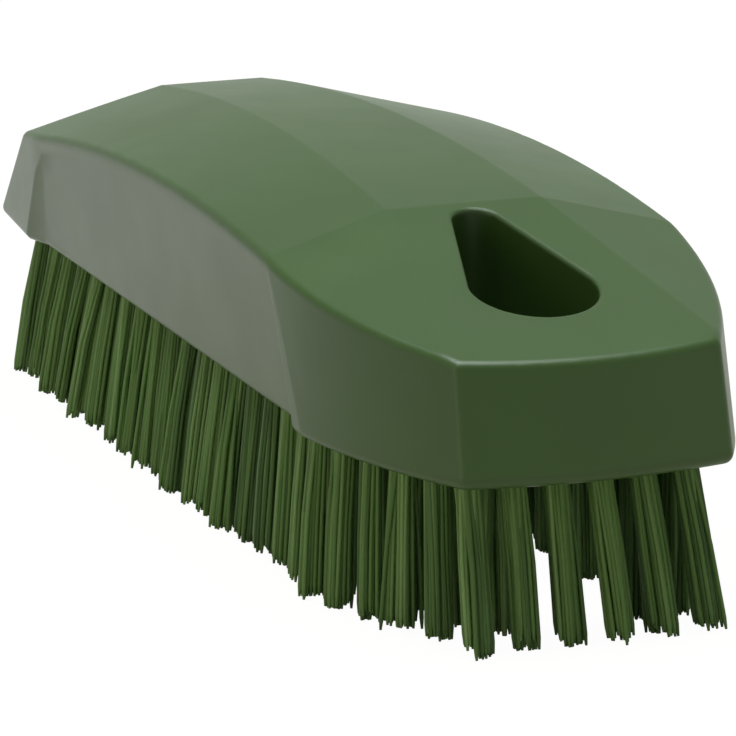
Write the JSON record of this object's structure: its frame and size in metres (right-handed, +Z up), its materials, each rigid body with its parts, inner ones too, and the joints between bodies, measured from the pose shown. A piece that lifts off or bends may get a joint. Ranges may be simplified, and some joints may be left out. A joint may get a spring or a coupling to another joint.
{
  "type": "nail brush",
  "caption": "One-piece green plastic nail brush: arched block with finger scoops, tapered hang-hole end and splayed bristle tufts held by hidden steel anchors.",
  "frame": {"origin": "centre of the length and width, on the plane of the bristle tips", "axes": "+X along the brush towards the end with the hang hole, +Z up from the bristle tips to the back of the block"},
  "size_m": [0.13, 0.0424, 0.0363],
  "materials": {
    "block_plastic": "injection-moulded green polypropylene, satin gloss",
    "bristle": "extruded green polyester filament, trimmed ends",
    "anchor_steel": "flat stainless wire, cut and pressed in"
  },
  "bodies": {
    "root": {"block": "block_plastic", "tufts_row_1": "bristle", "tufts_row_2": "bristle", "tufts_row_3": "bristle", "tufts_row_4": "bristle", "tufts_row_5": "bristle", "tufts_row_6": "bristle", "tufts_row_7": "bristle", "tufts_row_8": "bristle", "tufts_shoulder_a": "bristle", "tufts_shoulder_b": "bristle", "tufts_inner_shoulder_a": "bristle", "tufts_inner_shoulder_b": "bristle", "tufts_front": "bristle", "tufts_rear": "bristle", "anchors_row_1": "anchor_steel", "anchors_row_2": "anchor_steel", "anchors_row_3": "anchor_steel", "anchors_row_4": "anchor_steel", "anchors_row_5": "anchor_steel", "anchors_row_6": "anchor_steel", "anchors_row_7": "anchor_steel", "anchors_row_8": "anchor_steel", "anchors_shoulder_a": "anchor_steel", "anchors_shoulder_b": "anchor_steel", "anchors_inner_shoulder_a": "anchor_steel", "anchors_inner_shoulder_b": "anchor_steel", "anchors_front": "anchor_steel", "anchors_rear": "anchor_steel"}
  },
  "joints": []
}
